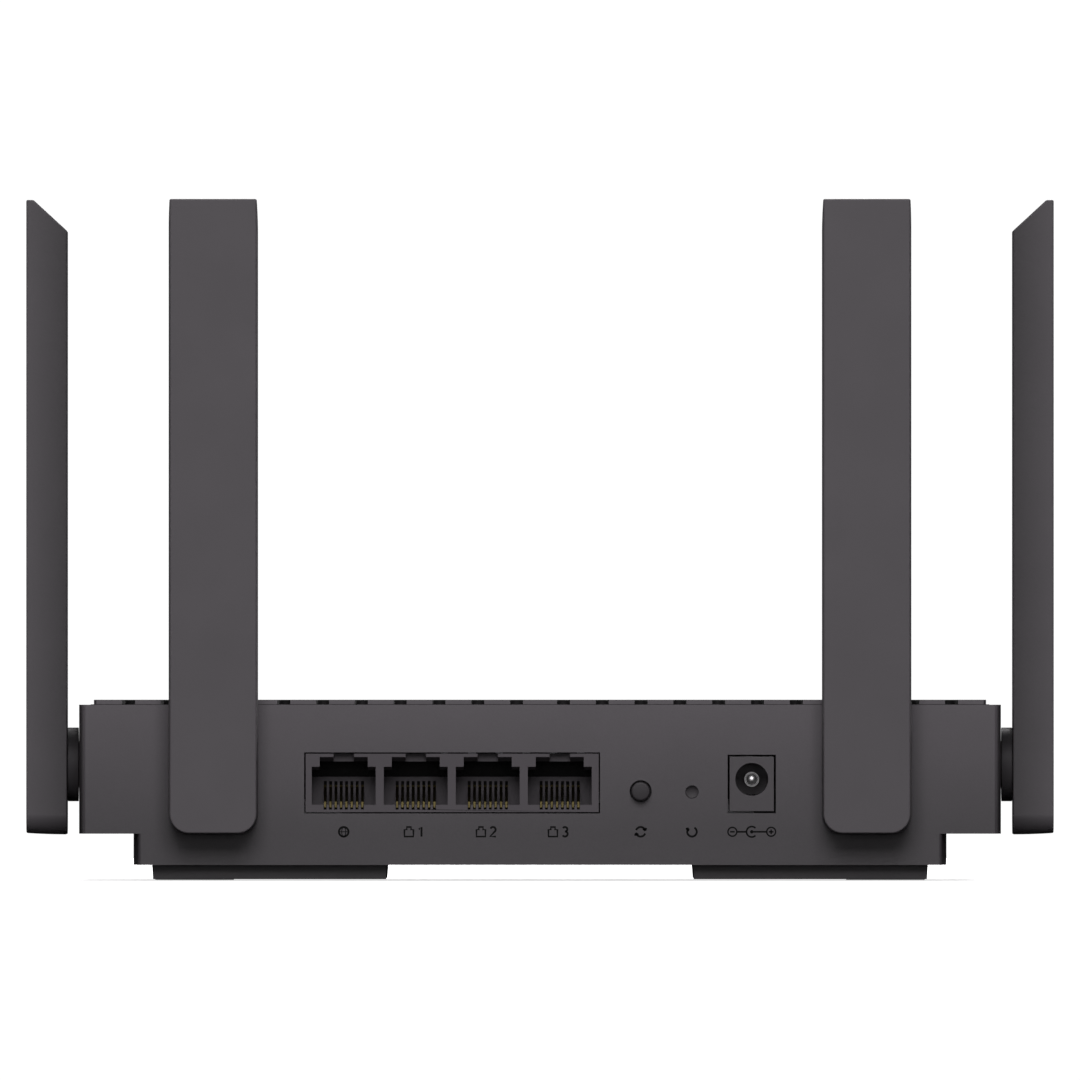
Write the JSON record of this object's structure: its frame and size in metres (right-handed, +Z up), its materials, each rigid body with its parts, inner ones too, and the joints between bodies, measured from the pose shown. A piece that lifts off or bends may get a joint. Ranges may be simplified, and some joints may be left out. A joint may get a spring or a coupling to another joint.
{
  "type": "wireless router",
  "caption": "Low flat box with grooved top, network sockets, power jack and two small buttons on its rear, and flat blade antennas on pivots at its rear and sides.",
  "frame": {"origin": "on the resting plane, at the centre of the bounding box with every antenna upright", "axes": "+Z up, +Y out of the face with the sockets, -Y out of the front, +X along the width, with the network sockets on the +X side"},
  "size_m": [0.1962, 0.128, 0.1298],
  "materials": {
    "casing": "fine moulded texture, charcoal",
    "antenna_casing": "fine moulded texture, charcoal",
    "pivot_hub": "polished black",
    "rubber_pad": "matt black",
    "socket_plastic": "satin charcoal",
    "light_guide": "clear, lightly frosted",
    "circuit_board": "green solder mask",
    "chip": "black epoxy",
    "gold_contact": "gold flash over nickel",
    "steel": "nickel plated",
    "aluminium": "extruded, clear anodised",
    "cable": "black jacket"
  },
  "bodies": {
    "housing": {"main_shell": "casing", "top_panel": "casing", "base_tray": "casing", "foot_rail_left": "casing", "foot_rail_right": "casing", "foot_pad_front_left": "rubber_pad", "case_screw_front_left": "steel", "foot_pad_front_right": "rubber_pad", "case_screw_front_right": "steel", "foot_pad_rear_left": "rubber_pad", "case_screw_rear_left": "steel", "foot_pad_rear_right": "rubber_pad", "case_screw_rear_right": "steel", "light_guide": "light_guide", "main_board": "circuit_board", "soc_chip": "chip", "thermal_pad": "rubber_pad", "heatsink": "aluminium", "ram_chip": "chip", "rf_shield_2_4_ghz": "steel", "rf_shield_5_ghz": "steel", "lan_transformer_1": "chip", "lan_transformer_2": "chip", "power_inductor": "chip", "capacitor_1": "aluminium", "capacitor_2": "aluminium", "wps_switch": "chip", "reset_switch": "chip", "board_screw_left": "steel", "board_screw_right": "steel", "network_socket": "socket_plastic", "contacts_wan": "gold_contact", "contacts_lan_1": "gold_contact", "contacts_lan_2": "gold_contact", "contacts_lan_3": "gold_contact", "dc_jack_housing": "socket_plastic", "dc_jack_leaf": "steel", "dc_jack_pin": "steel", "antenna_lead_rear_left": "cable", "antenna_lead_rear_right": "cable", "antenna_lead_side_left": "cable", "antenna_lead_side_right": "cable"},
    "antenna_rear_left": {"antenna_shell_rear_left": "antenna_casing", "antenna_cover_rear_left": "antenna_casing", "antenna_element_rear_left": "circuit_board", "antenna_hub_rear_left": "pivot_hub"},
    "antenna_rear_right": {"antenna_shell_rear_right": "antenna_casing", "antenna_cover_rear_right": "antenna_casing", "antenna_element_rear_right": "circuit_board", "antenna_hub_rear_right": "pivot_hub"},
    "antenna_side_left": {"antenna_shell_side_left": "antenna_casing", "antenna_cover_side_left": "antenna_casing", "antenna_element_side_left": "circuit_board", "antenna_hub_side_left": "pivot_hub"},
    "antenna_side_right": {"antenna_shell_side_right": "antenna_casing", "antenna_cover_side_right": "antenna_casing", "antenna_element_side_right": "circuit_board", "antenna_hub_side_right": "pivot_hub"},
    "wps_button": {"wps_button": "casing"},
    "reset_button": {"reset_button": "casing"}
  },
  "joints": [
    {"name": "antenna_rear_left_swing", "type": "hinge", "parent": "housing", "child": "antenna_rear_left", "pos_m": [-0.0623, 0.05395, 0.02204], "axis": [0, 1, 0], "range_deg": [-90, 90]},
    {"name": "antenna_rear_right_swing", "type": "hinge", "parent": "housing", "child": "antenna_rear_right", "pos_m": [0.0623, 0.05395, 0.02204], "axis": [0, 1, 0], "range_deg": [-90, 90]},
    {"name": "antenna_side_left_swing", "type": "hinge", "parent": "housing", "child": "antenna_side_left", "pos_m": [-0.088, 0.03895, 0.02204], "axis": [-1, 0, 0], "range_deg": [-90, 90]},
    {"name": "antenna_side_right_swing", "type": "hinge", "parent": "housing", "child": "antenna_side_right", "pos_m": [0.088, 0.03895, 0.02204], "axis": [1, 0, 0], "range_deg": [-90, 90]},
    {"name": "wps_press", "type": "slide", "parent": "housing", "child": "wps_button", "axis": [0, -1, 0], "range_m": [0, 0.0008], "stiffness_N_per_m": 1000},
    {"name": "reset_press", "type": "slide", "parent": "housing", "child": "reset_button", "axis": [0, -1, 0], "range_m": [0, 0.0005], "stiffness_N_per_m": 1000}
  ]
}
